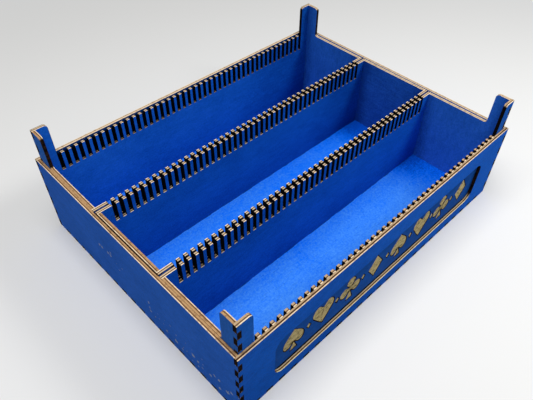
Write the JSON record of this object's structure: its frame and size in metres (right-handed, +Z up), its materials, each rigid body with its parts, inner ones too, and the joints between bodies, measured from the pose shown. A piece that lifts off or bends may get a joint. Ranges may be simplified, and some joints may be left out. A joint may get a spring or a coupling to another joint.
{
  "type": "card tray",
  "caption": "Open plywood tray with comb-slotted lanes for upright sleeved cards, a front window and corner posts that carry the next tray.",
  "frame": {"origin": "middle of the base's underside, at the middle of the outer box", "axes": "+X along the lanes, to the right as seen from the window side, +Y from the window side to the back, +Z up"},
  "size_m": [0.3044, 0.233, 0.1035],
  "materials": {
    "blue_plywood": "matte"
  },
  "bodies": {
    "root": {"base_panel": "blue_plywood", "outer_front_panel": "blue_plywood", "outer_back_panel": "blue_plywood", "outer_left_panel": "blue_plywood", "outer_right_panel": "blue_plywood", "front_lane_front_comb": "blue_plywood", "front_lane_back_comb": "blue_plywood", "front_lane_left_end": "blue_plywood", "front_lane_right_end": "blue_plywood", "middle_lane_front_comb": "blue_plywood", "middle_lane_back_comb": "blue_plywood", "middle_lane_left_end": "blue_plywood", "middle_lane_right_end": "blue_plywood", "rear_lane_front_comb": "blue_plywood", "rear_lane_back_comb": "blue_plywood", "rear_lane_left_end": "blue_plywood", "rear_lane_right_end": "blue_plywood"}
  },
  "joints": []
}
